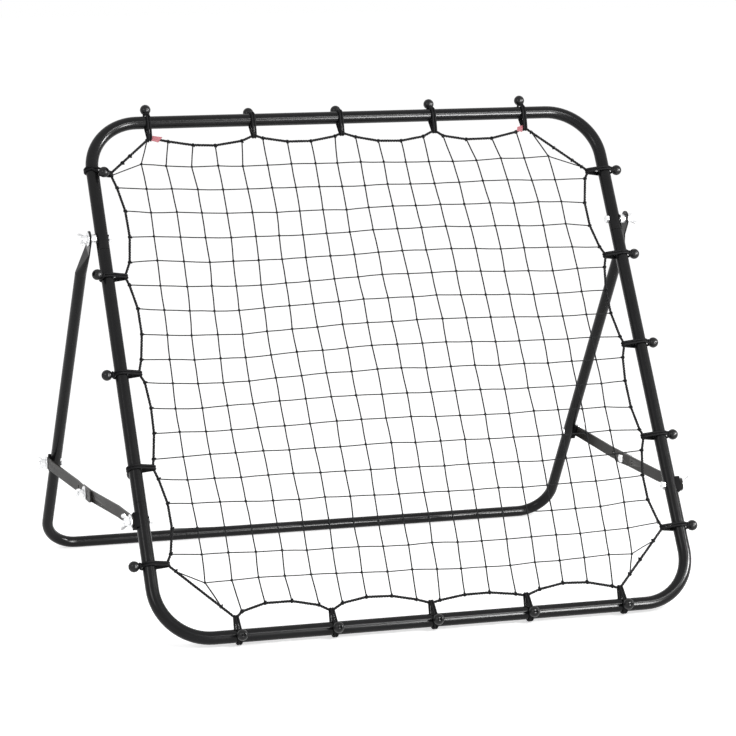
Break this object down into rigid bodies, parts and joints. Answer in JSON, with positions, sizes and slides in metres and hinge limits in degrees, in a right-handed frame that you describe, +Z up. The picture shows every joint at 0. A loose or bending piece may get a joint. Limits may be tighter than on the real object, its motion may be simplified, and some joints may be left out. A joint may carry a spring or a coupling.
{
  "type": "pitch back rebounder",
  "caption": "Square tube frame with a knotted net held by ball bungees, leaning on a hinged rear frame with folding side stays.",
  "frame": {"origin": "middle of the bounding box in plan, at floor level", "axes": "+X to the right seen from the front, +Y from the net to the rear frame, +Z up"},
  "size_m": [1.0634, 0.8202, 0.841],
  "materials": {
    "tube_paint": "satin black powder coat on steel tube",
    "stay_paint": "satin black powder coat on flat steel bar",
    "zinc_hardware": "bright zinc plating",
    "net_twine": "twisted and knotted polyethylene twine",
    "border_rope": "braided polyethylene rope",
    "elastic_cord": "elastic cord with a woven cover",
    "ball_plastic": "glossy moulded plastic",
    "saddle_plastic": "matt moulded plastic",
    "marker_tag": "plain woven tape"
  },
  "bodies": {
    "front_frame": {"front_top_tube": "tube_paint", "front_bottom_tube": "tube_paint", "front_side_tube_left": "tube_paint", "front_side_tube_right": "tube_paint", "net": "net_twine", "net_border_rope": "border_rope", "net_tag_left": "marker_tag", "net_tag_right": "marker_tag", "bungee_cords_top": "elastic_cord", "bungee_cords_bottom": "elastic_cord", "bungee_cords_left": "elastic_cord", "bungee_cords_right": "elastic_cord", "bungee_balls_top": "ball_plastic", "bungee_balls_bottom": "ball_plastic", "bungee_balls_left": "ball_plastic", "bungee_balls_right": "ball_plastic", "pivot_spacer_left": "zinc_hardware", "pivot_spacer_right": "zinc_hardware", "front_stay_saddle_left": "saddle_plastic", "front_stay_saddle_right": "saddle_plastic"},
    "rear_frame": {"rear_leg_left": "tube_paint", "rear_leg_right": "tube_paint", "rear_cross_tube": "tube_paint", "pivot_bolt_left": "zinc_hardware", "pivot_bolt_right": "zinc_hardware", "pivot_washer_left": "zinc_hardware", "pivot_washer_right": "zinc_hardware", "rear_stay_bolt_left": "zinc_hardware", "rear_stay_bolt_right": "zinc_hardware", "rear_stay_saddle_left": "saddle_plastic", "rear_stay_saddle_right": "saddle_plastic", "rear_stay_washer_left": "zinc_hardware", "rear_stay_washer_right": "zinc_hardware"},
    "front_stay_left": {"front_stay_left": "stay_paint", "front_stay_bolt_left": "zinc_hardware", "front_stay_washer_left": "zinc_hardware", "elbow_bolt_head_left": "zinc_hardware"},
    "rear_stay_left": {"rear_stay_left": "stay_paint", "elbow_bolt_end_left": "zinc_hardware", "elbow_washer_left": "zinc_hardware"},
    "pivot_wing_nut_left": {"pivot_wing_nut_left": "zinc_hardware"},
    "front_stay_wing_nut_left": {"front_stay_wing_nut_left": "zinc_hardware"},
    "rear_stay_wing_nut_left": {"rear_stay_wing_nut_left": "zinc_hardware"},
    "elbow_wing_nut_left": {"elbow_wing_nut_left": "zinc_hardware"},
    "front_stay_right": {"front_stay_right": "stay_paint", "front_stay_bolt_right": "zinc_hardware", "front_stay_washer_right": "zinc_hardware", "elbow_bolt_head_right": "zinc_hardware"},
    "rear_stay_right": {"rear_stay_right": "stay_paint", "elbow_bolt_end_right": "zinc_hardware", "elbow_washer_right": "zinc_hardware"},
    "pivot_wing_nut_right": {"pivot_wing_nut_right": "zinc_hardware"},
    "front_stay_wing_nut_right": {"front_stay_wing_nut_right": "zinc_hardware"},
    "rear_stay_wing_nut_right": {"rear_stay_wing_nut_right": "zinc_hardware"},
    "elbow_wing_nut_right": {"elbow_wing_nut_right": "zinc_hardware"}
  },
  "joints": [
    {"name": "fold", "type": "hinge", "parent": "front_frame", "child": "rear_frame", "pos_m": [0, 0.00453, 0.62592], "axis": [-1, 0, 0], "range_deg": [0, 45]},
    {"name": "front_stay_turn_left", "type": "hinge", "parent": "front_frame", "child": "front_stay_left", "pos_m": [-0.4852, -0.26615, 0.19274], "axis": [-1, 0, 0], "range_deg": [0, 91]},
    {"name": "rear_stay_turn_left", "type": "hinge", "parent": "rear_frame", "child": "rear_stay_left", "pos_m": [-0.5113, 0.28662, 0.1867], "axis": [1, 0, 0], "range_deg": [0, 95]},
    {"name": "pivot_wing_nut_turn_left", "type": "hinge", "parent": "rear_frame", "child": "pivot_wing_nut_left", "pos_m": [-0.4947, 0.00453, 0.62592], "axis": [-1, 0, 0], "continuous": true},
    {"name": "front_stay_wing_nut_turn_left", "type": "hinge", "parent": "front_stay_left", "child": "front_stay_wing_nut_left", "pos_m": [-0.4906, -0.26615, 0.19274], "axis": [-1, 0, 0], "continuous": true},
    {"name": "rear_stay_wing_nut_turn_left", "type": "hinge", "parent": "rear_frame", "child": "rear_stay_wing_nut_left", "pos_m": [-0.5167, 0.28662, 0.1867], "axis": [-1, 0, 0], "continuous": true},
    {"name": "elbow_wing_nut_turn_left", "type": "hinge", "parent": "rear_stay_left", "child": "elbow_wing_nut_left", "pos_m": [-0.5055, 0.01763, 0.18414], "axis": [-1, 0, 0], "continuous": true},
    {"name": "front_stay_turn_right", "type": "hinge", "parent": "front_frame", "child": "front_stay_right", "pos_m": [0.4852, -0.26615, 0.19274], "axis": [-1, 0, 0], "range_deg": [0, 91]},
    {"name": "rear_stay_turn_right", "type": "hinge", "parent": "rear_frame", "child": "rear_stay_right", "pos_m": [0.5113, 0.28662, 0.1867], "axis": [1, 0, 0], "range_deg": [0, 95]},
    {"name": "pivot_wing_nut_turn_right", "type": "hinge", "parent": "rear_frame", "child": "pivot_wing_nut_right", "pos_m": [0.4947, 0.00453, 0.62592], "axis": [1, 0, 0], "continuous": true},
    {"name": "front_stay_wing_nut_turn_right", "type": "hinge", "parent": "front_stay_right", "child": "front_stay_wing_nut_right", "pos_m": [0.4906, -0.26615, 0.19274], "axis": [1, 0, 0], "continuous": true},
    {"name": "rear_stay_wing_nut_turn_right", "type": "hinge", "parent": "rear_frame", "child": "rear_stay_wing_nut_right", "pos_m": [0.5167, 0.28662, 0.1867], "axis": [1, 0, 0], "continuous": true},
    {"name": "elbow_wing_nut_turn_right", "type": "hinge", "parent": "rear_stay_right", "child": "elbow_wing_nut_right", "pos_m": [0.5055, 0.01763, 0.18414], "axis": [1, 0, 0], "continuous": true}
  ],
  "couplings": [
    {"joint": "front_stay_turn_left", "follows": "fold", "ratio": 2.0175},
    {"joint": "rear_stay_turn_left", "follows": "fold", "ratio": 2.1042},
    {"joint": "front_stay_turn_right", "follows": "fold", "ratio": 2.0175},
    {"joint": "rear_stay_turn_right", "follows": "fold", "ratio": 2.1042}
  ]
}
